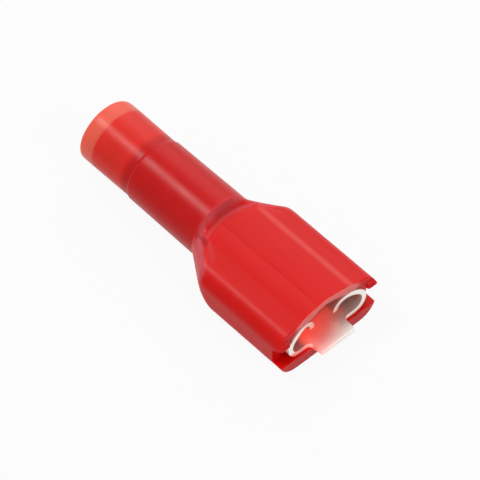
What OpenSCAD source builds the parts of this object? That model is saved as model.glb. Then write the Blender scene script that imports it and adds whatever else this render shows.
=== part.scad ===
// Fully insulated female spade terminal for a 6.35 x 0.8 mm tab.
// X runs from the wire end to the tongue, Z is up, and the part lies on the flat underside of its housing.

/* [Overall] */
// Length from the wire end to the tip of the tongue
overall_l = 24.14; // [24:0.02:24.4]
// Height of the barrel's axis above the rest face
axis_h = 2.7; // [2.68:0.01:2.74]

/* [Nylon barrel] */
// Radius at the wire end
rim_r = 2.6; // [2.56:0.01:2.64]
// Radius just before the step
grip_r = 2.56; // [2.54:0.01:2.58]
// Radius just after the step
neck_r = 2.65; // [2.63:0.01:2.67]
// Rounding of the rim
rim_round = 0.3; // [0.2:0.05:0.4]
// Length of the thinner stretch that grips the insulation
grip_l = 5.14; // [4.9:0.02:5.4]
// Length of the whole barrel, up to the collar
barrel_l = 12.07; // [11.9:0.01:12.2]
// Length of the plain nylon band behind the sleeve
band_l = 1.35; // [1.2:0.05:1.5]

/* [Body] */
// Width across the side walls at their upper edges
body_w = 9.26; // [9.2:0.02:9.3]
// Width across the side walls at their foot
foot_w = 9.1; // [9:0.02:9.16]
// Rounding of the lower long edges
keel_r = 1.45; // [1.3:0.05:1.6]
// Height of the side walls' upper edges
side_h = 3.4; // [3.3:0.02:3.44]
// Rounding of the lower edges where the shoulders end
heel_r = 2.2; // [2:0.05:2.3]
// Length over which that rounding eases into the keel's
heel_l = 0.8; // [0.7:0.05:1]
// Length of the shoulders that widen the barrel into the body
shoulder_l = 2.7; // [2.5:0.05:2.8]
// Rounding of the shoulders' outer corners, seen from above
shoulder_r = 0.9; // [0.7:0.1:1.1]

/* [Panel] */
// Width of the panel between its two long edges
panel_w = 4.76; // [4.7:0.02:4.9]
// Height of the panel's long edges
panel_h = 4.46; // [4.42:0.01:4.5]
// Half width of the level crown between its two soft creases
crown_y = 0.77; // [0.7:0.01:0.9]
// Height of the crown
crown_h = 4.56; // [4.52:0.01:4.6]
// Distance of the panel's back edge from the end of the barrel
panel_back = 0.46; // [0.44:0.01:0.5]
// Radius of the panel's back edge, seen from above
edge_r = 5.5; // [5.2:0.1:6]

/* [Mouth] */
// Setback of the jaw's front face from the tip of the tongue
jaw_back = 0.97; // [0.9:0.01:1.1]
// Setback of the upper lip from the jaw's front face, in the middle
lip_back = 0.5; // [0.45:0.01:0.55]
// Setback of the upper lip from the jaw's front face, at the panel's edges and beyond
brow_back = 0.3; // [0.28:0.01:0.32]
// Setback of the side walls' ends from the jaw's front face
notch_back = 0.93; // [0.9:0.01:1]
// Height of the notches at their rear
notch_rear_h = 2.52; // [2.48:0.01:2.56]
// Height of the notches at the jaw's front face
notch_front_h = 3.04; // [3:0.01:3.08]

/* [Receptacle] */
// Thickness of the brass sheet
sheet_t = 0.4; // [0.38:0.01:0.42]
// Length of the two curls
curl_l = 7.6; // [7.4:0.1:7.8]
// Outer radius of the curls' lower half
curl_low_r = 1.15; // [1.13:0.01:1.17]
// Outer radius of the curls' upper half
curl_top_r = 1.4; // [1.38:0.01:1.42]
// Width across the two curls
curl_w = 7.44; // [7.4:0.01:7.48]
// Setback of the curls' free ends from their sides, which leads the tab in
curl_lead = 0.45; // [0.4:0.05:0.5]
// Width of the tongue
tongue_w = 3.17; // [3.1:0.01:3.3]
// Length of the tongue
tongue_l = 1.15; // [1.1:0.01:1.2]
// Inner radius of the wire barrel
wire_r = 1.17; // [1.15:0.01:1.19]
// Length of the wire barrel
wire_l = 5; // [4.8:0.1:5.2]

/* [Crimp sleeve] */
// Thickness of the sleeve
sleeve_t = 0.25; // [0.24:0.01:0.26]
// Inner radius around the insulation
sleeve_r = 2; // [1.98:0.01:2.01]
// Length of the wide stretch around the insulation
sleeve_wide_l = 3.4; // [3.2:0.05:3.5]
// Length of the cone between the two stretches
sleeve_cone_l = 0.7; // [0.6:0.05:0.8]

/* [Hidden] */
fine = 96;          // facets of turned faces
coarse = 32;        // facets of the discs inside a hull
eps = 0.01;         // overlap that joins two solids
fit_gap = 0.03;     // radial play between the barrel, the sleeve and the nylon
cavity_gap = 0.05;  // play between the curls and the housing
far = 20;           // reach of cutting blocks
strips = 4;         // strips of the apron behind the panel
over = 1;           // how far a cutting outline runs past what it cuts
play = 0.05;        // loose fit between two pieces
roof_t = 0.5;       // nylon over the cavity
step_l = 0.06;      // length of the barrel's small step
seam_w = 0.12;      // open seam of the wire barrel
trough_l = 2.1;     // oblique cut from the wire barrel to the neck
brow_low = notch_front_h + 0.1;
brow_high = side_h + 0.22;

x_wire = -overall_l / 2;
x_tip = overall_l / 2;
x_step = x_wire + grip_l;
x_collar = x_wire + barrel_l;
x_jaw = x_tip - jaw_back;
x_lip = x_jaw - lip_back;
x_brow = x_jaw - brow_back;
x_notch = x_jaw - notch_back;
x_floor = x_tip - tongue_l;
x_curl = x_floor - curl_l;
x_body = x_collar + shoulder_l;
x_panel = x_collar + panel_back;
x_heel = x_body + heel_l;

barrel_end_r = axis_h;                  // the barrel's neck touches the rest face
root_back = 0.05;                       // where the shoulders leave the barrel
side_round = 0.25;                      // rounding of the side walls' upper edges
flank_fall = atan2(panel_h - side_h, (body_w - panel_w) / 2);

// The wire barrel stands a hair above the floor's underside, so that the floor carries the terminal.
wire_lift = 0.01;
wire_out_r = wire_r + sheet_t;
floor_h = axis_h - wire_out_r - wire_lift;
floor_top = floor_h + sheet_t;

// Each curl is two arcs that share an upright tangent: one up the side, one over the tab.
curl_z = floor_h + curl_low_r;
curl_low_y = curl_w / 2 - curl_low_r;
curl_top_y = curl_w / 2 - curl_top_r;
arc_step = 5;

x_sleeve = x_wire + band_l;
x_cone = x_sleeve + sleeve_wide_l;
x_narrow = x_cone + sleeve_cone_l;
x_wire_barrel = x_narrow + 0.15;
x_sleeve_end = x_wire_barrel + wire_l;
narrow_r = wire_out_r + fit_gap;
band_bore_r = sleeve_r + play;
throat_r = narrow_r + 2 * play;         // passage from the barrel to the cavity
x_cavity = x_curl - 0.3;

function arc(y, z, r, from, to) =
    let (n = max(1, round(abs(to - from) / arc_step)))
    [for (i = [0:n]) let (a = from + (to - from) * i / n) [y + r * cos(a), z + r * sin(a)]];

// Adds the mirror image of a half outline, leaving points on the middle line single.
function both(half) =
    concat(half, [for (i = [len(half) - 1:-1:0]) if (half[i][0] > 0) [-half[i][0], half[i][1]]]);

// Runs an outline in Y and Z along X.
module along(from, to) {
    translate([from, 0, 0]) rotate([90, 0, 90]) linear_extrude(to - from) children();
}

// Runs an outline in X and Z across Y.
module across() {
    rotate([90, 0, 0]) translate([0, 0, -far / 2]) linear_extrude(far) children();
}

// Turns an outline of radius and X about the barrel's axis.
module turned() {
    translate([0, 0, axis_h]) rotate([0, 90, 0]) rotate_extrude($fn = fine) children();
}

// ---- housing ----

function body_section(keel = keel_r) = both(concat(
    arc(foot_w / 2 - keel, keel, keel, -90, 0),
    arc(body_w / 2 - side_round, side_h - side_round, side_round, 0, 90 - flank_fall),
    [[panel_w / 2, panel_h], [crown_y, crown_h]]));

module nylon_barrel() {
    turned() polygon(concat(
        [[0, x_wire]],
        arc(rim_r - rim_round, x_wire + rim_round, rim_round, -90, 0),
        [[grip_r, x_step], [neck_r, x_step + step_l], [barrel_end_r, x_collar], [0, x_collar]]));
}

// Loft from the barrel's round section to the body's flat one, with rounded outer corners.
module shoulders() {
    slope = atan2(body_w / 2 - barrel_end_r, shoulder_l + root_back);
    corner_x = x_body + shoulder_r * tan(slope / 2);
    hull() {
        along(x_collar - root_back - eps, x_collar - root_back) intersection() {
            translate([0, axis_h]) circle(barrel_end_r - 2 * eps, $fn = coarse);
            translate([-far / 2, 0]) square([far, side_h]);
        }
        intersection() {
            along(x_body - shoulder_r, corner_x + eps) polygon(body_section(heel_r));
            rotate([0, 0, -90]) linear_extrude(far)
                polygon(both(concat([[body_w / 2, corner_x + over]],
                    [for (p = arc(body_w / 2 - shoulder_r, corner_x, shoulder_r, 0, -slope)) p])));
        }
        along(x_heel - eps, x_heel) polygon(body_section());
    }
}

// Where the panel begins at a given distance from the middle: a wide arc that bulges towards the barrel.
function edge_x(y) = x_panel + edge_r - sqrt(edge_r * edge_r - y * y);

// Panel and flanks, which run back over the shoulders. The panel ends in the arc, each flank in a slant.
module deck() {
    intersection() {
        along(x_panel, x_heel) polygon(body_section());
        translate([0, 0, side_h - side_round]) rotate([0, 0, -90]) linear_extrude(far) polygon(both(concat(
            [[body_w / 2 - eps, far], [body_w / 2 - eps, x_body]],
            [for (i = [strips / 2:-1:0]) [panel_w * i / strips, edge_x(panel_w * i / strips)]])));
    }
}

// Apron that falls from the end of the barrel to the panel's back edge, in strips side by side.
module collar() {
    for (i = [0:strips - 1]) {
        from = panel_w * (i / strips - 1 / 2);
        to = from + panel_w / strips;
        back_a = edge_x(from);
        back_b = edge_x(to);
        hull() {
            along(x_collar - eps, x_collar) intersection() {
                translate([0, axis_h]) circle(barrel_end_r - eps, $fn = coarse);
                translate([from, side_h]) square([to - from, far]);
            }
            intersection() {
                along(x_panel, x_heel) polygon(body_section());
                translate([0, 0, side_h]) rotate([0, 0, -90]) linear_extrude(far) polygon([
                    [-from, back_a], [-to, back_b], [-to, back_b + eps], [-from, back_a + eps]]);
            }
        }
    }
}

// Everything ahead of the lip, above the notches' rear edge, seen from above.
module lip_cutter() {
    inner = curl_w / 2 + cavity_gap;
    translate([0, 0, notch_rear_h]) rotate([0, 0, -90]) linear_extrude(far) polygon(both([
        [inner, far], [inner, x_brow], [panel_w / 2, x_brow], [0, x_lip]]));
}

// Bevel over the front ends of the side walls.
module brow_cutter() {
    across() polygon([[x_brow, far], [x_brow, brow_high], [x_jaw, brow_low], [far, brow_low], [far, far]]);
}

// Notches in the side walls, which rise towards the front.
module notches() {
    rise = (notch_front_h - notch_rear_h) / notch_back;
    for (side = [0, 1]) mirror([0, side, 0]) translate([0, far / 2 + curl_low_y, 0]) across() polygon([
        [x_notch, floor_h], [far, floor_h], [far, notch_rear_h + rise * (far - x_notch)],
        [x_notch, notch_rear_h]]);
}

function cavity_section() =
    let (low = curl_low_r + cavity_gap, top = curl_top_r + cavity_gap,
         first = -asin(curl_low_r / low))
    both(concat(arc(curl_low_y, curl_z, low, first, 0), arc(curl_top_y, curl_z, top, 0, 100),
        [[crown_y, crown_h - roof_t], [0, crown_h - roof_t]]));

module cavity() {
    along(x_cavity, far) polygon(cavity_section());
    hull() {
        along(x_sleeve_end - eps, x_sleeve_end)
            translate([0, axis_h]) circle(throat_r, $fn = coarse);
        along(x_cavity, x_cavity + eps) polygon(cavity_section());
    }
}

// Bore that holds the sleeve between the end band and the throat.
module sleeve_bore() {
    wide = sleeve_r + sleeve_t + fit_gap;
    narrow = narrow_r + sleeve_t + fit_gap;
    turned() polygon([[0, x_wire - over], [band_bore_r, x_wire - over], [band_bore_r, x_sleeve],
        [wide, x_sleeve], [wide, x_cone], [narrow, x_narrow], [narrow, x_sleeve_end], [0, x_sleeve_end]]);
}

module housing() {
    color([0.80, 0.10, 0.10]) difference() {
        union() {
            nylon_barrel();
            shoulders();
            along(x_heel - eps, x_jaw) polygon(body_section());
            collar();
            deck();
        }
        sleeve_bore();
        cavity();
        lip_cutter();
        brow_cutter();
        notches();
    }
}

// ---- receptacle ----

function curl_section() = both(concat(
    arc(curl_low_y, curl_z, curl_low_r, -90, 0),
    arc(curl_top_y, curl_z, curl_top_r, 0, 180),
    arc(curl_top_y, curl_z, curl_top_r - sheet_t, 180, 0),
    arc(curl_low_y, curl_z, curl_low_r - sheet_t, 0, -90)));

// Curls and floor, with the front edges running back towards the free ends.
module curls() {
    free_y = curl_top_y - curl_top_r;
    square_y = curl_low_y + sheet_t;
    difference() {
        along(x_curl, x_floor) polygon(curl_section());
        translate([0, 0, floor_top + sheet_t]) rotate([0, 0, -90]) linear_extrude(far) polygon(both([
            [square_y, x_floor + over], [square_y, x_floor], [free_y, x_floor - curl_lead],
            [0, x_floor - curl_lead]]));
    }
}

module tongue() {
    fillet = 0.35;
    half = tongue_w / 2;
    translate([0, 0, floor_h]) rotate([0, 0, -90]) linear_extrude(sheet_t) polygon(both(concat(
        [[half, x_tip]],
        arc(half + fillet, x_floor + fillet, fillet, 180, 270),
        [[half + fillet, x_floor - 0.5]])));
}

// Flat neck that narrows from the floor to the wire barrel.
module neck() {
    narrow = 0.55;
    broad = curl_low_y - 2 * play;
    lap = 0.5;
    translate([0, 0, floor_h]) rotate([0, 0, -90]) linear_extrude(sheet_t) polygon(both([
        [narrow, x_sleeve_end + 0.2], [broad, x_curl - 2 * play], [broad, x_curl + lap],
        [narrow, x_curl + lap]]));
}

// Rolled wire barrel with its butted seam on top, cut away obliquely towards the neck.
module wire_barrel() {
    top = axis_h + wire_out_r;
    difference() {
        turned() polygon([[wire_r, x_wire_barrel], [wire_out_r, x_wire_barrel],
            [wire_out_r, x_sleeve_end + trough_l], [wire_r, x_sleeve_end + trough_l]]);
        across() polygon([[x_sleeve_end, top + over], [x_sleeve_end, top - sheet_t],
            [x_sleeve_end + trough_l, floor_top + play], [far, floor_top + play], [far, top + over]]);
        translate([x_wire_barrel - over, -seam_w / 2, axis_h]) cube([wire_l + trough_l, seam_w, far]);
    }
}

module receptacle() {
    color([0.80, 0.80, 0.78]) union() {
        curls();
        tongue();
        neck();
        wire_barrel();
    }
}

// ---- crimp sleeve ----

module crimp_sleeve() {
    color([0.74, 0.74, 0.72]) turned() polygon([
        [sleeve_r, x_sleeve], [sleeve_r + sleeve_t, x_sleeve], [sleeve_r + sleeve_t, x_cone],
        [narrow_r + sleeve_t, x_narrow], [narrow_r + sleeve_t, x_sleeve_end], [narrow_r, x_sleeve_end],
        [narrow_r, x_narrow], [sleeve_r, x_cone]]);
}

housing();
receptacle();
crimp_sleeve();
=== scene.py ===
# %% [markdown]
# # Female spade terminal
# A push-on terminal has three pieces: a nylon housing moulded in one, a brass receptacle stamped and rolled
# from one sheet, and a copper sleeve that is crimped with the wire. The frame gives their places and sizes,
# and every length below is in millimetres until a mesh is made.

import math

import bmesh
import bpy
import numpy as np
from mathutils import Matrix, Vector


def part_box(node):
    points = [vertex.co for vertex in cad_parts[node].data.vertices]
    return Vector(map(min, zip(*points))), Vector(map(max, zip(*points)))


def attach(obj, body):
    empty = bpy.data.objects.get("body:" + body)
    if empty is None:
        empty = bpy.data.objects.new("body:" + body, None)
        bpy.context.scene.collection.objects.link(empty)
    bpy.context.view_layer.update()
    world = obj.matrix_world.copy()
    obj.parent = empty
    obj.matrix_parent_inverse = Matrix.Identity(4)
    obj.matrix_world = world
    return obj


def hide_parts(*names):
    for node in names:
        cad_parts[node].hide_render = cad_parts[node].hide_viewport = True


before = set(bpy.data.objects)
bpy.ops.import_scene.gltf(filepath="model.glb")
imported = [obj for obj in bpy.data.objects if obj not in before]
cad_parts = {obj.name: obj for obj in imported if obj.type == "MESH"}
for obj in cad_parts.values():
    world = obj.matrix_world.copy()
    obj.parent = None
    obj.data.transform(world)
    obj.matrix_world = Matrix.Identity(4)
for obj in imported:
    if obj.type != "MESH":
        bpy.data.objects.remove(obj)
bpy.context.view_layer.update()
MM = 0.001


def box_mm(node):
    return tuple(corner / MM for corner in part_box(node))


housing_low, housing_high = box_mm("housing")
receptacle_low, receptacle_high = box_mm("receptacle")
sleeve_low, sleeve_high = box_mm("crimp_sleeve")
print("housing", [round(v, 2) for v in housing_high - housing_low], "mm")

# %% [markdown]
# ## Expressions on sockets
# Geometry and shader trees both hold Math nodes. A small class that wraps a socket lets a rule be written
# as a sum or a product, which reads like the rule itself, and adds the nodes as it goes.

# %% Sockets that add up


class Field:
    """A number on a socket. Arithmetic on it adds Math nodes to its tree."""

    def __init__(self, graph, socket):
        self.graph, self.socket = graph, socket

    def math(self, operation, *others):
        inputs = dict(enumerate((self, *others)))
        return self.graph.field("ShaderNodeMath", {"operation": operation}, inputs, "Value")

    def flipped(self, operation, other):
        return self.graph.field("ShaderNodeMath", {"operation": operation}, {0: other, 1: self}, "Value")

    def __add__(self, other):
        return self.math("ADD", other)

    def __sub__(self, other):
        return self.math("SUBTRACT", other)

    def __mul__(self, other):
        return self.math("MULTIPLY", other)

    def __truediv__(self, other):
        return self.math("DIVIDE", other)

    def __rsub__(self, other):
        return self.flipped("SUBTRACT", other)

    def __rtruediv__(self, other):
        return self.flipped("DIVIDE", other)

    __radd__ = __add__
    __rmul__ = __mul__


class Graph:
    """Adds nodes to a tree: type, settings, then the values or links of the sockets."""

    def __init__(self, tree):
        self.tree = tree

    def node(self, kind, settings=None, inputs=None):
        made = self.tree.nodes.new(kind)
        for name, value in (settings or {}).items():
            if name == "stops":
                self.set_stops(made.color_ramp, value)
            else:
                setattr(made, name, value)
        for key, value in (inputs or {}).items():
            if isinstance(value, Field):
                value = value.socket
            if isinstance(value, bpy.types.NodeSocket):
                self.tree.links.new(value, made.inputs[key])
            else:
                made.inputs[key].default_value = value
        return made

    def field(self, kind, settings, inputs, output):
        return Field(self, self.node(kind, settings, inputs).outputs[output])

    def step(self, value, start, end):
        """0 before start, 1 after end, with a smooth rise between."""
        return self.field("ShaderNodeMapRange", {"interpolation_type": "SMOOTHSTEP"},
                          {"Value": value, "From Min": start, "From Max": end}, "Result")

    @staticmethod
    def set_stops(ramp, stops):
        while len(ramp.elements) < len(stops):
            ramp.elements.new(0.5)
        for element, (place, colour) in zip(ramp.elements, stops):
            element.position, element.color = place, colour


# %% [markdown]
# ## Nylon
# Nylon 6/6 for terminals is a satin, translucent plastic. Light enters it, scatters and comes out red, and
# subsurface scattering gives that. Its tone changes along the length: the band behind the wire end has no
# sleeve inside and is the lightest and most orange. Pale highlights at the lip and one edge of the panel,
# and a greyish sheen at the collar and the shoulders, are painted into the colour.

# %% Nylon material


def new_material(name):
    material = bpy.data.materials.new(name)
    material.use_nodes = True
    material.node_tree.nodes.clear()
    return material, Graph(material.node_tree)


def finish_material(graph, shader):
    graph.node("ShaderNodeOutputMaterial", None, {"Surface": shader.outputs[0]})


def place_on_object(graph):
    spot = graph.node("ShaderNodeTexCoord").outputs["Object"]
    parts = graph.node("ShaderNodeSeparateXYZ", None, {"Vector": spot})
    return spot, [Field(graph, parts.outputs[axis]) / MM for axis in "XYZ"]


def blend(graph, factor, first, second):
    return graph.node("ShaderNodeMix", {"data_type": "RGBA"},
                      {"Factor": factor, "A": first, "B": second}).outputs["Result"]


def mottle(graph, spot, scale, detail=3.0):
    return graph.field("ShaderNodeTexNoise", None, {"Vector": spot, "Scale": scale, "Detail": detail}, "Fac")


NYLON_BAND = (1.0, 0.14, 0.09, 1)
NYLON_THIN = (1.0, 0.024, 0.014, 1)
NYLON_DEEP = (0.60, 0.002, 0.002, 1)
NYLON_BODY = (0.72, 0.003, 0.002, 1)
# The next two colours are a painted highlight and a painted sheen.
NYLON_HIGHLIGHT = (1.0, 0.24, 0.22, 1)
NYLON_SHEEN = (0.60, 0.13, 0.16, 1)
arc_bend, lip_slant = 0.09, 0.084
lip_x = housing_high.x - 0.55


def near(value, centre, width):
    """1 at the centre, 0 at that width to either side."""
    return (1 - (value - centre).math("ABSOLUTE") / width).math("MAXIMUM", 0.0)


def tone_along(graph, x, cloud, body):
    """Lighter from the wire end: the bare band, the stretch behind it, the middle of the barrel, the body."""
    sleeved = graph.step(x, sleeve_low.x - 0.12, sleeve_low.x + 0.12)
    middle = graph.step(x, -8.1, -7.3)
    colour = blend(graph, sleeved, NYLON_BAND, NYLON_THIN)
    colour = blend(graph, middle, colour, NYLON_DEEP)
    colour = blend(graph, body, colour, NYLON_BODY)
    return blend(graph, (cloud - 0.5) * 0.25, colour, NYLON_THIN)


def painted_highlights(graph, colour, x, y, z):
    """Paints highlights pale on the lip and on the panel's edge on the +Y side, and a greyish sheen on the
    collar and the shoulders.
    """
    half = y.math("ABSOLUTE")
    upper = graph.step(z, 4.0, 4.4)
    lip = graph.step(x - half * lip_slant, lip_x - 0.03, lip_x + 0.03) * graph.step(z, 3.3, 3.7)
    # The lip and the +Y panel edge get a painted highlight.
    colour = blend(graph, lip * 0.85, colour, NYLON_HIGHLIGHT)
    panel_edge = near(y, 2.25, 0.38) * upper * graph.step(x, 1.0, 2.0)
    colour = blend(graph, panel_edge * 0.30, colour, NYLON_HIGHLIGHT)

    collar_top = near(x, 0.12, 0.35) * graph.step(z, 3.8, 4.6)
    collar_foot = near(x - y * y * arc_bend, 0.55, 0.22) * upper
    shoulder = near(half - x * 0.82, 2.15, 0.60) * graph.step(x, 0.1, 0.5) * (1 - graph.step(x, 2.6, 3.1))
    shoulder = shoulder * graph.step(z, 2.9, 3.2)
    flank_edge = near(half - x * 0.58, 1.68, 0.30) * graph.step(x, 1.2, 1.6) * (1 - graph.step(x, 2.6, 2.9))
    # The collar, shoulders and flank edge get a painted greyish sheen.
    painted_sheen = collar_top * 0.5 + collar_foot * 0.35 + shoulder * 0.8 + flank_edge * 0.2
    return blend(graph, painted_sheen.math("MINIMUM", 1.0), colour, NYLON_SHEEN)


def nylon_material():
    material, graph = new_material("translucent red nylon")
    spot, (x, y, z) = place_on_object(graph)
    cloud = mottle(graph, spot, 420.0)
    body = graph.step(x, -1.0, 1.5)
    colour = painted_highlights(graph, tone_along(graph, x, cloud, body), x, y, z)
    grain = mottle(graph, spot, 5200.0)
    bump = graph.node("ShaderNodeBump", None, {"Strength": 0.08, "Distance": 0.02 * MM, "Height": grain})
    shader = graph.node("ShaderNodeBsdfPrincipled", None, {
        "Base Color": colour,
        "Roughness": 0.28 + cloud * 0.12 + body * 0.06,
        "IOR": 1.53,
        "Specular IOR Level": 0.15,
        "Subsurface Weight": 0.85,
        "Subsurface Radius": (1.0, 0.20, 0.16),
        "Subsurface Scale": 1.0 * MM,
        "Normal": bump.outputs["Normal"],
    })
    finish_material(graph, shader)
    return material


nylon = nylon_material()
print("material", nylon.name)

# %% [markdown]
# ## Tinned metal
# The receptacle is tinned brass strip, rolled along its length, so its gloss varies in fine lines along X.
# The sleeve is tinned copper tube with a smoother surface. Inside the mouth red light falls through the
# nylon onto the metal. That is painted as red light in the colour and a faint emission, the insides of the
# curls get painted shade, and only the receptacle has these.

# %% Tinned metal materials


# Painted light and shade in the mouth: a glow, red light on the floor and shade inside the curls.
TIN_GLOW = (0.85, 0.05, 0.03, 1)
TIN_RED_LIGHT = (1.0, 0.22, 0.17, 1)
TIN_SHADE = (0.62, 0.36, 0.27, 1)
floor_top, curl_from = 1.6, 1.9


def painted_mouth_light(graph, x, y, z, mouth_light):
    """Painted light and shade: how far the slot's floor glows, how far red light is painted on it, and how
    far painted shade darkens the curls inside.
    """
    above = graph.step(z, floor_top, curl_from)
    ahead = x + y * 0.5
    in_slot = 1 - graph.step(y.math("ABSOLUTE"), 1.8, 2.4)
    glow = (1 - above) * in_slot * graph.step(x, 8.6, 10.0) * (1 - graph.step(ahead, 9.2, 12.4)) * mouth_light
    red_light = (1 - above) * (1 - graph.step(ahead, 8.8, 13.0)) * mouth_light
    shade = (1 - graph.step(x, 10.3, 10.9)) * above * mouth_light
    return glow, red_light, shade


def tinned_material(name, colour, roughness, stretch, mouth_light=0.0):
    material, graph = new_material(name)
    spot, (x, y, z) = place_on_object(graph)
    along = graph.node("ShaderNodeMapping", None, {"Vector": spot, "Scale": stretch}).outputs["Vector"]
    lines = mottle(graph, along, 900.0)
    cloud = mottle(graph, spot, 500.0)
    duller = tuple(0.86 * channel for channel in colour[:3]) + (1,)
    glow, red_light, shade = painted_mouth_light(graph, x, y, z, mouth_light)
    # Painted shade darkens the curls inside, behind their front edge.
    tin = blend(graph, shade, blend(graph, cloud, duller, colour), TIN_SHADE)
    bump = graph.node("ShaderNodeBump", None, {"Strength": 0.10, "Distance": 0.01 * MM, "Height": lines})
    shader = graph.node("ShaderNodeBsdfPrincipled", None, {
        # Painted red light on the slot's floor, from light that comes through the nylon.
        "Base Color": blend(graph, red_light, tin, TIN_RED_LIGHT),
        "Metallic": 1.0,
        "Roughness": roughness + lines * 0.10 + cloud * 0.06,
        "Emission Color": blend(graph, glow, (0, 0, 0, 1), TIN_GLOW),
        "Emission Strength": 1.0,
        "Normal": bump.outputs["Normal"],
    })
    finish_material(graph, shader)
    return material


tinned_brass = tinned_material("tinned brass strip", (0.95, 0.90, 0.85, 1), 0.40, (0.12, 1, 1), 0.75)
tinned_copper = tinned_material("tinned copper tube", (0.82, 0.80, 0.78, 1), 0.28, (0.3, 1, 1))
print("materials", tinned_brass.name, "and", tinned_copper.name)

# %% [markdown]
# ## From a cage to a piece
# Both visible pieces start as a coarse cage of four-sided faces. A geometry tree rounds the cage, shapes it
# and gives it its material, and its result becomes a plain mesh, so that nothing live is left on the piece.

# %% Cage helpers


def cage_object(name, points, faces):
    mesh = bpy.data.meshes.new(name)
    mesh.from_pydata([Vector(p) * MM for p in points], [], faces)
    shell = bmesh.new()
    shell.from_mesh(mesh)
    bmesh.ops.recalc_face_normals(shell, faces=shell.faces)
    shell.to_mesh(mesh)
    shell.free()
    piece = bpy.data.objects.new(name, mesh)
    bpy.context.scene.collection.objects.link(piece)
    return piece


def new_tree(name, sizes):
    """A geometry tree with a geometry socket each way, a material and the named sizes as inputs."""
    tree = bpy.data.node_groups.new(name, "GeometryNodeTree")
    tree.interface.new_socket("Geometry", in_out="INPUT", socket_type="NodeSocketGeometry")
    tree.interface.new_socket("Geometry", in_out="OUTPUT", socket_type="NodeSocketGeometry")
    tree.interface.new_socket("Material", in_out="INPUT", socket_type="NodeSocketMaterial")
    for size, value in sizes.items():
        kind = "NodeSocketInt" if isinstance(value, int) else "NodeSocketFloat"
        tree.interface.new_socket(size, in_out="INPUT", socket_type=kind)
    graph = Graph(tree)
    entry = graph.node("NodeGroupInput")
    return graph, entry, {size: Field(graph, entry.outputs[size]) for size in sizes}


def end_tree(graph, entry, geometry):
    smooth = graph.node("GeometryNodeSetShadeSmooth", None, {"Geometry": geometry})
    real = graph.node("GeometryNodeRealizeInstances", None, {"Geometry": smooth.outputs[0]})
    painted = graph.node("GeometryNodeSetMaterial", None,
                         {"Geometry": real.outputs[0], "Material": entry.outputs["Material"]})
    graph.node("NodeGroupOutput", None, {"Geometry": painted.outputs[0]})


def grow(piece, tree, material, sizes):
    """Runs the tree on the piece with these sizes and keeps the result as a plain mesh."""
    modifier = piece.modifiers.new(tree.name, "NODES")
    modifier.node_group = tree
    values = {"Material": material, **sizes}
    for item in tree.interface.items_tree:
        if item.in_out == "INPUT" and item.name in values:
            modifier[item.identifier] = values[item.name]
    bpy.context.view_layer.update()
    grown = piece.evaluated_get(bpy.context.evaluated_depsgraph_get())
    mesh = bpy.data.meshes.new_from_object(grown)
    piece.modifiers.clear()
    piece.data = mesh
    mesh.name = piece.name
    triangles = sum(len(face.vertices) - 2 for face in mesh.polygons)
    print(piece.name, "has", triangles, "triangles")
    return piece


# %% [markdown]
# ## The housing's outline
# Across its body the housing is a flat-bottomed tube: round lower edges, nearly upright side walls, a
# sloping flank on each side, and a raised panel between two long edges with a level crown between two soft
# creases. The outline is walked from the middle of the underside up to the crown. Each of its stations
# knows its place on the round barrel, and how far forward it goes at the mouth.

# %% Outline of the housing
x_wire, x_jaw = housing_low.x, housing_high.x
half_w = housing_high.y
axis_h = housing_high.z / 2
floor_h = receptacle_low.z
keel, keel_r, heel_r = (3.10, 1.45), 1.45, 2.40
foot_y = keel[0] + keel_r
wall_top, corner_r, corner_turn, side_h = 2.78, 1.37, 74, 3.40
panel_y, panel_h, crown_y, crown_h = 2.38, 4.46, 0.77, 4.56
notch_low, notch_high, brow_low, brow_high = 2.52, 3.04, 3.14, 3.62
x_notch, x_brow, x_lip = x_jaw - 0.93, x_jaw - 0.30, x_jaw - 0.50
curl_z, low_y, low_r, top_y, top_r, room = 2.27, 2.57, 1.15, 2.32, 1.40, 0.05
inner_y = low_y + low_r + room
edge = 0.04


def arc(centre, radius, degrees):
    return [(centre[0] + radius * math.cos(math.radians(a)), centre[1] + radius * math.sin(math.radians(a)))
            for a in degrees]


def slide(value, first, last):
    """0 at first, 1 at last, and held at those values beyond them."""
    return min(1.0, max(0.0, (value - first) / (last - first)))


def wall(z):
    return foot_y + (half_w - foot_y) * slide(z, keel_r, wall_top)


def roof(y):
    """Height of the flank, the panel and the crown over a point of the width."""
    if y > panel_y:
        return panel_h - (y - panel_y) * math.tan(math.radians(90 - corner_turn))
    return panel_h + (crown_h - panel_h) * slide(y, panel_y, crown_y)


def reach_at(y, z):
    """How far forward the skin goes: the jaw, the notch, the slanting wall end, the brow and the lip."""
    if z > wall_top and y < inner_y:
        return x_lip + slide(y, 0, panel_y) * (x_brow - x_lip)
    if z > brow_low:
        return x_jaw - slide(z, brow_low, brow_high) * (x_jaw - x_brow)
    if z > floor_h:
        return x_notch + slide(z, notch_low, notch_high) * (x_jaw - x_notch)
    return x_jaw


def facing(y, z):
    """The point of the cavity's wall that faces a point of the outline."""
    if z <= floor_h:
        return 2.80 * slide(y, 0, keel[0]) + 0.113 * z / floor_h, floor_h
    if y <= panel_y:
        return y * 0.869, 3.698 + 0.362 * slide(y, panel_y, crown_y)
    rise = z - curl_z
    if z < side_h - 0.02:
        centre, radius = (low_y, low_r) if rise < 0 else (top_y, top_r)
        return centre + math.sqrt((radius + room) ** 2 - rise ** 2), z
    return arc((top_y, curl_z), top_r + room, [50 + 50 * slide(y, half_w - 0.14, panel_y)])[0]


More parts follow.
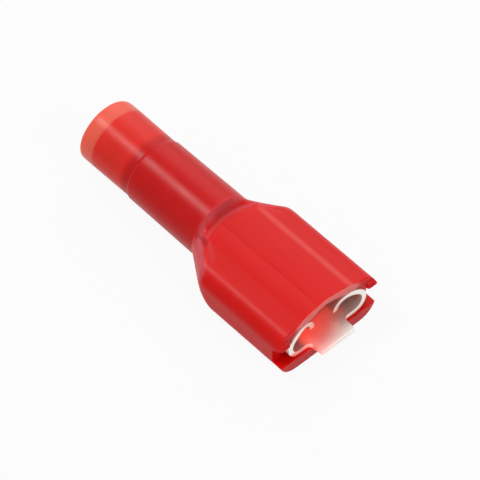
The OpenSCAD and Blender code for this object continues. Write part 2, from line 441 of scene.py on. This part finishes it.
def stations():
    """Rows of outer point, angle on the barrel and reach, from the underside's middle to the crown."""
    rows = []

    def walk(points, first, last, reach=None):
        for i, point in enumerate(points):
            angle = first + (last - first) * i / max(1, len(points) - 1)
            rows.append((point, angle, reach_at(*point) if reach is None else reach))

    jaw_top = math.degrees(math.asin((floor_h - keel_r) / keel_r))
    walk([(keel[0] * t, 0) for t in (0, 0.33, 0.66, 1)], -90, -84)
    walk(arc(keel, keel_r, (-72, -54, -38, -24, jaw_top - 3)), -81, -22)
    walk(arc(keel, keel_r, (jaw_top - 0.4,)), -19.5, 0, x_jaw)
    walk(arc(keel, keel_r, (jaw_top + 0.2,)), -19.1, 0, x_jaw - edge)
    walk(arc(keel, keel_r, (jaw_top + 0.5,)), -18.7, 0, x_notch + edge)
    walk(arc(keel, keel_r, (jaw_top + 1, jaw_top + 6, 0)), -18, -7, x_notch)
    walk([(wall(z), z) for z in (1.8, 2.15, 2.43, 2.50)], -5, -1.6)
    walk([(wall(z), z) for z in (2.54, 2.64, 2.77)], -1.3, -0.2)
    corner = (half_w - corner_r, wall_top)
    walk(arc(corner, corner_r, (5, 9, 10.5, 12, 14.5, 18, 24, 31, 38, 46, 54, 62, 69, corner_turn)), 1, 24)
    walk([(y, roof(y)) for y in (3.35, 3.0, 2.7, 2.46)], 25, 27.5)
    for y in (2.40, 2.36, 2.2, 1.8, 1.4, 1.05, 0.84, 0.77, 0.70, 0.45, 0.2, 0):
        walk([(y, roof(y))], math.degrees(math.acos(y / axis_h)), 0)
    return rows


half_outline = stations()
print("the half outline has", len(half_outline), "stations")

# %% [markdown]
# ## The housing's skin
# The skin of a tube closes on itself both ways, like a ring: out along the barrel, over the shoulders and
# the body, round the lip and back inside to the wire end. Each station becomes one line of the cage that
# runs that way. Walls spread from the barrel over the shoulders, the panel starts at an arc close to the
# barrel, and the flanks start at a slanting edge between the two. Where neighbouring lines reach
# differently far, at the notches, the face between them is the notch's own face. Pairs of close lines keep
# an edge crisp.

# %% Cage of the housing
barrel_r = axis_h
x_collar = x_wire + 12.07
x_panel, panel_arc = x_collar + 0.46, 5.5
x_body = x_collar + 2.70
x_heel = x_body + 0.80
full_climb = 2.52
x_tip = receptacle_high.x
x_floor = x_tip - 1.15
x_curl = x_floor - 7.6
BARREL = [(0.0, 2.36), (0.0, 2.44), (0.03, 2.52), (0.11, 2.575), (0.27, 2.598), (0.6, 2.6), (2.0, 2.59),
          (3.6, 2.57), (4.9, 2.562), (5.1, 2.56), (5.16, 2.60), (5.2, 2.645), (5.3, 2.652), (6.2, 2.656),
          (8.0, 2.67), (10.0, 2.69), (11.0, 2.698)]


def heel(y, z):
    """The same station where the shoulders end, with the lower edges rounded more."""
    if z <= 0:
        return y * (foot_y - heel_r) / keel[0], 0
    if z < keel_r:
        turn = math.degrees(math.atan2(z - keel_r, y - keel[0]))
        return arc((foot_y - heel_r, heel_r), heel_r, [turn])[0]
    if z < wall_top:
        z = heel_r + (z - keel_r) * (wall_top - heel_r) / (wall_top - keel_r)
        return wall(z), z
    return y, z


def edge_x(y):
    return x_panel + panel_arc - math.sqrt(panel_arc ** 2 - y ** 2)


def climb(y, z, ring):
    """The stretch of a line from the barrel's end to the body, ten points long."""
    def between(x, start, end, target):
        t = slide(x, start, end)
        return x, ring[0] + t * (target[0] - ring[0]), ring[1] + t * (target[1] - ring[1])

    start = x_collar - 0.05
    if y <= panel_y + 0.03:
        start, end = x_collar, edge_x(min(y, panel_y))
        places = [start + t * (end - start) for t in (0.06, 0.35, 0.62, 0.9)]
        line = [between(x, start, end, (y, z)) for x in (start - 0.3, start - 0.04, *places)]
        return line + [(end + x, y, z) for x in (0.05, 0.15, 0.35, 0.8)]
    if z > side_h - 0.1:
        end = edge_x(panel_y) + slide(y, panel_y, half_w) ** 0.8 * (x_body - edge_x(panel_y))
        low = side_h + (end - start) / full_climb * (z - side_h)
        line = [between(x, start, end, (y, low)) for x in (start - 0.3, start - 0.05, start + 0.05)]
        line += [between(start + t * (end - start), start, end, (y, low)) for t in (0.35, 0.7, 0.9)]
        return line + [(end, y, low + 0.45 * (z - low)), (end + 0.12, y, low + 0.93 * (z - low)),
                       (end + 0.32, y, z), (end + 0.8, y, z)]
    spread = heel(y, z)
    late = x_body + 0.05
    rising = [start + t * (late - start) for t in (0.3, 0.55, 0.8)]
    places = [start - 0.3, start - 0.05, start + 0.05, *rising]
    line = [between(x, start, late, spread) for x in (*places, late - 0.2)]
    for t in (0.25, 0.85, 1.3):
        w = min(1.0, t)
        line.append((late + t * (x_heel - x_body), spread[0] + w * (y - spread[0]),
                     spread[1] + w * (z - spread[1])))
    return line


def outer_line(y, z, angle, reach):
    turn = math.radians(angle)
    line = [(x_wire + x, r * math.cos(turn), axis_h + r * math.sin(turn)) for x, r in BARREL]
    line += climb(y, z, (barrel_r * math.cos(turn), axis_h + barrel_r * math.sin(turn)))
    first = x_heel + 0.6
    line += [(first + t * (reach - first), y, z) for t in (0, 0.25, 0.5, 0.75, 0.92)]
    line += [(reach - back, y, z) for back in (0.12, edge)]
    return line


def mouth_edge(y, z, inner, reach):
    """Across the wall's end. Ahead of the brow the wall's inner side is flat, and stands outside the curl."""
    if reach > x_brow + 0.02 and z > floor_h:
        ahead = reach - x_brow
        return [(reach, y - 0.05, z), (reach, inner_y + edge, z), (reach - 0.15 * ahead, inner_y, z),
                (x_brow + 0.15 * ahead, inner_y, z), (x_brow, inner_y - edge, z),
                (x_brow, inner[0] + 0.02, z)]
    return [(reach, y + t * (inner[0] - y), z + t * (inner[1] - z)) for t in (0.05, 0.2, 0.4, 0.6, 0.8, 0.95)]


BORE = [(10.60, 1.70), (10.56, 1.70), (10.60, 1.88), (10.3, 1.88), (5.6, 1.88), (5.45, 1.88), (4.75, 2.28),
        (4.6, 2.28), (1.5, 2.28), (1.36, 2.27), (1.35, 2.06), (1.2, 2.05), (0.3, 2.05), (0.08, 2.08),
        (0.0, 2.2)]


def inner_line(inner, angle, reach):
    y, z = inner
    turn = math.radians(angle)
    rear = x_curl - 0.3
    line = [(reach - back, y, z) for back in (edge, 0.12)]
    line += [(reach + t * (rear - reach), y, z) for t in (0.1, 0.4, 0.7, 0.97, 1)]
    throat = x_wire + BORE[0][0]
    for t in (0.35, 0.7, 0.95):
        line.append((rear + t * (throat - rear), (1 - t) * y + t * BORE[0][1] * math.cos(turn),
                     (1 - t) * z + t * (axis_h + BORE[0][1] * math.sin(turn))))
    line += [(x_wire + x, r * math.cos(turn), axis_h + r * math.sin(turn)) for x, r in BORE]
    return line


def housing_line(point, angle, reach):
    """One closed line of the cage: outside to the mouth, round its edge, and back along the inside."""
    inner = facing(*point)
    inner_reach = reach if point[1] <= floor_h else min(reach, x_brow)
    return (outer_line(*point, angle, reach) + mouth_edge(*point, inner, reach)
            + inner_line(inner, angle, inner_reach))


def ring_cage(lines):
    """Points and faces of a skin that closes both around its lines and along them."""
    count, length = len(lines), len(lines[0])
    points = [p for line in lines for p in line]
    faces = []
    for i in range(count):
        after = (i + 1) % count
        for j in range(length):
            beside = (j + 1) % length
            faces.append((i * length + j, i * length + beside, after * length + beside, after * length + j))
    return points, faces


right = [housing_line(*station) for station in half_outline]
left = [[(x, -y, z) for x, y, z in line] for line in right[-2:0:-1]]
housing = cage_object("nylon_housing", *ring_cage(right + left))
print("the cage has", len(right + left), "lines of", len(right[0]), "points")

# %% Round the housing's cage


def swell(y, first, last, power):
    """1 in the middle between two lines along the panel, 0 on both lines and beyond them."""
    across = ((y - first) / (last - first) * 2 - 1).math("ABSOLUTE").math("MINIMUM", 1.0)
    return 1 - across.math("POWER", power)


def moulded_skin():
    """Rounds the cage, sinks it by a faint wave, and swells the panel on both sides of its left crease."""
    sizes = {"Levels": 2, "Sink": 0.008 * MM, "Swell": 0.045, "Crease": crown_y, "Panel half": panel_y}
    graph, entry, size = new_tree("moulded skin", sizes)
    skin = graph.node("GeometryNodeSubdivisionSurface", None,
                      {"Mesh": entry.outputs["Geometry"], "Level": size["Levels"]})
    spot = graph.node("GeometryNodeInputPosition").outputs[0]
    wave = graph.field("ShaderNodeTexNoise", None, {"Vector": spot, "Scale": 260.0, "Detail": 1.0}, "Fac")
    normal = graph.node("GeometryNodeInputNormal").outputs[0]
    offset = graph.node("ShaderNodeVectorMath", {"operation": "SCALE"},
                        {"Vector": normal, "Scale": (wave - 1.0) * size["Sink"]})
    waved = graph.node("GeometryNodeSetPosition", None,
                       {"Geometry": skin.outputs[0], "Offset": offset.outputs[0]})
    apart = graph.node("ShaderNodeSeparateXYZ", None, {"Vector": spot})
    x, y, z = (Field(graph, apart.outputs[axis]) / MM for axis in "XYZ")
    on_panel = graph.step(z, panel_h - 0.10, panel_h - 0.04)
    on_panel = on_panel * graph.step(x - y * y * arc_bend, x_panel + 0.04, x_panel + 0.64)
    left_crease = 0 - size["Crease"]
    left = swell(y, 0 - size["Panel half"], left_crease, 2.0)
    right = swell(y, left_crease, size["Panel half"], 5.0)
    rise = (left + right) * on_panel * size["Swell"] * MM
    lift = graph.node("ShaderNodeCombineXYZ", None, {"Z": rise})
    swollen = graph.node("GeometryNodeSetPosition", None,
                          {"Geometry": waved.outputs[0], "Offset": lift.outputs[0]})
    end_tree(graph, entry, swollen.outputs[0])
    return graph.tree, sizes


tree, sizes = moulded_skin()
grow(housing, tree, nylon, sizes)
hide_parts("housing")
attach(housing, "root")

# %% [markdown]
# ## The receptacle as a flat blank
# The press first cuts a flat blank: the tongue in front, a wide part for the two curls, a narrow neck, and
# a part that becomes the wire barrel. Only then is it rolled. The cage is that flat blank, with d for the
# distance from the middle line and h for the height within the sheet's thickness. The front edge runs back
# towards the two free ends, which is what lets a tab find its way in.

# %% Flat blank
sheet_t = 0.4
tongue_half = 3.17 / 2
tongue_fillet = 0.35
side_mid, top_mid = low_r - sheet_t / 2, top_r - sheet_t / 2
side_length = math.pi / 2 * side_mid
curl_half = low_y + side_length + math.pi * top_mid
curl_lead = 0.45
wire_r = 1.17 + sheet_t / 2
x_barrel = receptacle_low.x
x_barrel_end = sleeve_high.x
barrel_half = math.pi * wire_r - 0.06


def blank_front(d):
    """How far forward the blank reaches at a distance from its middle line."""
    if d < tongue_half:
        return x_tip
    over_tab = (d - low_y - side_length) / top_mid
    if over_tab > 0:
        y = top_y + top_mid * math.cos(over_tab)
        return x_floor - curl_lead * slide(y, low_y + sheet_t, top_y - top_r)
    inside = max(0.0, tongue_half + tongue_fillet - d)
    return x_floor + tongue_fillet - math.sqrt(tongue_fillet ** 2 - inside ** 2)


COLUMNS = [0, 0.5, 1.0, 1.4, tongue_half - 0.04, tongue_half - 0.001, tongue_half + 0.003, tongue_half + 0.04,
           1.72, 1.84, 1.96, 2.2, 2.45, low_y, 2.8, 3.05, 3.3, 3.55, 3.8, low_y + side_length,
           *np.linspace(4.4, 7.6, 11), curl_half - 0.1, curl_half - edge, curl_half]
NECK = [(0, barrel_half), (0.15, 3.4), (0.55, 2.75), (1.05, 2.15), (1.65, 1.62), (2.3, 1.5), (3.0, 1.8),
        (3.8, 2.1), (4.4, 2.35), (4.74, 2.45)]


def blank_rows():
    """(X as a rule of d, half width of the blank) from the rear of the barrel to the front."""
    rows = [(lambda d, x=x: x, barrel_half) for x in
            (x_barrel, x_barrel + edge, x_barrel + 1.5, x_barrel + 3.2, x_barrel_end - 0.15)]
    rows += [(lambda d, x=x_barrel_end + x: x, half) for x, half in NECK]
    rows += [(lambda d, x=x_curl + x: x, curl_half) for x in (0, edge)]
    rows += [(lambda d, t=t: x_curl + t * (blank_front(d) - x_curl), curl_half)
             for t in (0.25, 0.5, 0.75, 0.93)]
    rows += [(lambda d, b=back: blank_front(d) - b, curl_half) for back in (0.12, edge, 0)]
    return rows


def sheet_cage(rows, columns, thickness):
    """A closed slab: a grid on top, one below, and two close layers between them along the cut edge."""
    wide = [-c for c in columns[:0:-1]] + list(columns)
    full = columns[-1]
    layers = [h * thickness / 2 for h in (-1, -0.8, 0.8, 1)]
    grid = [[(place(abs(d)), d * half / full) for d in wide] for place, half in rows]
    points = [(x, d, h) for h in layers for row in grid for x, d in row]
    width, length = len(wide), len(rows)

    def at(layer, row, column):
        return (layer * length + row) * width + column

    faces = []
    for i in range(length - 1):
        for j in range(width - 1):
            for layer in (0, 3):
                faces.append((at(layer, i, j), at(layer, i, j + 1),
                              at(layer, i + 1, j + 1), at(layer, i + 1, j)))
    loop = [(0, j) for j in range(width)] + [(i, width - 1) for i in range(1, length)]
    loop += [(length - 1, j) for j in range(width - 2, -1, -1)] + [(i, 0) for i in range(length - 2, 0, -1)]
    for (i, j), (k, m) in zip(loop, loop[1:] + loop[:1]):
        for layer in (0, 1, 2):
            faces.append((at(layer, i, j), at(layer, k, m), at(layer + 1, k, m), at(layer + 1, i, j)))
    return points, faces


receptacle = cage_object("brass_receptacle", *sheet_cage(blank_rows(), COLUMNS, sheet_t))
print("the blank is", round(2 * curl_half, 1), "mm wide before it is rolled")

# %% [markdown]
# ## Rolling the blank
# Rolling keeps lengths along the sheet's middle, so a point's place follows from its distance d: the floor
# stays flat, then a small arc runs up the side, then a larger arc goes over the top and comes down on the
# tab. At the rear the same distance runs around the wire barrel instead, and the neck passes from one rule
# to the other.

# %% Roll the blank


def choose(share, first, second):
    return first + (second - first) * share


def rolled_sheet():
    sizes = {
        "Levels": 1, "Floor": (floor_h + sheet_t / 2) * MM,
        "Flat half": low_y * MM, "Side radius": side_mid * MM,
        "Top radius": top_mid * MM, "Barrel radius": wire_r * MM, "Axis": axis_h * MM,
        "Neck start": x_barrel_end * MM, "Neck end": (x_barrel_end + 2.4) * MM,
    }
    graph, entry, size = new_tree("rolled sheet", sizes)
    fine = graph.node("GeometryNodeSubdivisionSurface", None,
                      {"Mesh": entry.outputs["Geometry"], "Level": size["Levels"]})
    spot = graph.node("GeometryNodeInputPosition").outputs[0]
    parts = graph.node("ShaderNodeSeparateXYZ", None, {"Vector": spot})
    x, across, h = (Field(graph, parts.outputs[axis]) for axis in "XYZ")
    d, hand = across.math("ABSOLUTE"), across.math("SIGN")

    quarter = math.pi / 2
    centre_z = size["Floor"] + size["Side radius"]
    side_turn = ((d - size["Flat half"]) / size["Side radius"] - quarter).math("MINIMUM", 0.0)
    top_turn = (d - size["Flat half"] - size["Side radius"] * quarter) / size["Top radius"]
    on_side, on_top = d.math("GREATER_THAN", size["Flat half"]), top_turn.math("GREATER_THAN", 0.0)
    side_reach, top_reach = size["Side radius"] - h, size["Top radius"] - h
    y_side = size["Flat half"] + side_reach * side_turn.math("COSINE")
    z_side = centre_z + side_reach * side_turn.math("SINE")
    y_top = size["Flat half"] + size["Side radius"] - size["Top radius"] + top_reach * top_turn.math("COSINE")
    z_top = centre_z + top_reach * top_turn.math("SINE")
    y_low, z_low = choose(on_side, d, y_side), choose(on_side, size["Floor"] + h, z_side)
    y_box, z_box = choose(on_top, y_low, y_top), choose(on_top, z_low, z_top)

    turn = d / size["Barrel radius"] - quarter
    wire_reach = size["Barrel radius"] - h
    y_wire = wire_reach * turn.math("COSINE")
    z_wire = size["Axis"] + wire_reach * turn.math("SINE")
    open_up = graph.step(x, size["Neck start"], size["Neck end"])
    y, z = choose(open_up, y_wire, y_box), choose(open_up, z_wire, z_box)

    place = graph.node("ShaderNodeCombineXYZ", None, {"X": x, "Y": y * hand, "Z": z})
    rolled = graph.node("GeometryNodeSetPosition", None,
                        {"Geometry": fine.outputs[0], "Position": place.outputs[0]})
    end_tree(graph, entry, rolled.outputs[0])
    return graph.tree, sizes


tree, sizes = rolled_sheet()
grow(receptacle, tree, tinned_brass, sizes)
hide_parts("receptacle")
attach(receptacle, "root")

# %% [markdown]
# ## The sleeve
# The sleeve is a turned tube, which the frame already gives in its true form, so it keeps its own mesh and
# only takes a finish.

# %% Finish the sleeve
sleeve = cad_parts["crimp_sleeve"]
sleeve.data.materials.clear()
sleeve.data.materials.append(tinned_copper)
print("sleeve keeps", len(sleeve.data.polygons), "faces")

# %% [markdown]
# ## Floor, light and camera
# A product of this size is shot in a light tent: white all round and a white sweep below. A small lamp
# above the left side draws the narrow highlight, a broad one on the right carries most of the light, and a
# fill in front lights the mouth. The floor is white to the camera and to reflections, but keeps part of its
# own shading so that the contact shows.

# %% Floor and light


def seen_directly(graph):
    """1 where the camera or a mirror sees it, 0 where it only lights something."""
    path = graph.node("ShaderNodeLightPath").outputs
    seen = Field(graph, path["Is Camera Ray"]).math("MAXIMUM", path["Is Glossy Ray"])
    return seen.math("MAXIMUM", path["Is Transmission Ray"])


def floor_material():
    material, graph = new_material("white sweep")
    seen = seen_directly(graph)
    paint = graph.node("ShaderNodeBsdfDiffuse", None, {"Color": (0.65, 0.65, 0.65, 1)})
    glow = graph.node("ShaderNodeEmission", None, {"Color": (1, 1, 1, 1), "Strength": 1.0})
    mixed = graph.node("ShaderNodeMixShader", None,
                       {0: seen * 0.93, 1: paint.outputs[0], 2: glow.outputs[0]})
    finish_material(graph, mixed)
    return material


def make_floor(half=1.5):
    mesh = bpy.data.meshes.new("sweep")
    corners = [(-half, -half, 0), (half, -half, 0), (half, half, 0), (-half, half, 0)]
    mesh.from_pydata(corners, [], [(0, 1, 2, 3)])
    mesh.materials.append(floor_material())
    floor = bpy.data.objects.new("sweep", mesh)
    bpy.context.scene.collection.objects.link(floor)


def make_world(strength):
    world = bpy.data.worlds.new("light tent")
    bpy.context.scene.world = world
    world.use_nodes = True
    world.node_tree.nodes.clear()
    graph = Graph(world.node_tree)
    seen = seen_directly(graph)
    level = strength + seen * (1.0 - strength)
    sky = graph.node("ShaderNodeBackground", None, {"Color": (1, 1, 1, 1), "Strength": level})
    graph.node("ShaderNodeOutputWorld", None, {"Surface": sky.outputs[0]})


def make_lamp(name, direction, distance, size, power):
    data = bpy.data.lights.new(name, "AREA")
    data.shape = "DISK"
    data.size = size
    data.energy = power
    lamp = bpy.data.objects.new(name, data)
    bpy.context.scene.collection.objects.link(lamp)
    toward = Vector(direction).normalized()
    lamp.location = toward * distance
    lamp.rotation_euler = toward.to_track_quat("Z", "Y").to_euler()
    return lamp


make_floor()
make_world(0.35)
make_lamp("overhead strip", (-0.438, -0.339, 0.833), 0.5, 0.07, 1.00)
make_lamp("right softbox", (-0.438, 0.60, 0.67), 0.5, 0.40, 0.70)
make_lamp("front fill", (0.75, 0.10, 0.65), 0.5, 0.30, 0.50)
print("three lamps in a white tent")

# %% Camera
azimuth, elevation, roll = 44.4145, 51.2251, 3.1709
look_at = Vector((1.454, 0.5454, 2.1993))
distance = 250.62
turn = (Matrix.Rotation(math.radians(azimuth), 4, "Z") @ Matrix.Rotation(math.radians(90 - elevation), 4, "X")
        @ Matrix.Rotation(math.radians(roll), 4, "Z"))
camera_data = bpy.data.cameras.new("camera")
camera_data.sensor_width = 36
camera_data.lens = 267.32
camera_data.clip_start = 0.01
camera = bpy.data.objects.new("camera", camera_data)
bpy.context.scene.collection.objects.link(camera)
camera.matrix_world = Matrix.Translation((look_at + turn.col[2].to_3d() * distance) * MM) @ turn
bpy.context.scene.camera = camera
bpy.context.scene.view_settings.view_transform = "Standard"
print("camera at", [round(v, 4) for v in camera.location])
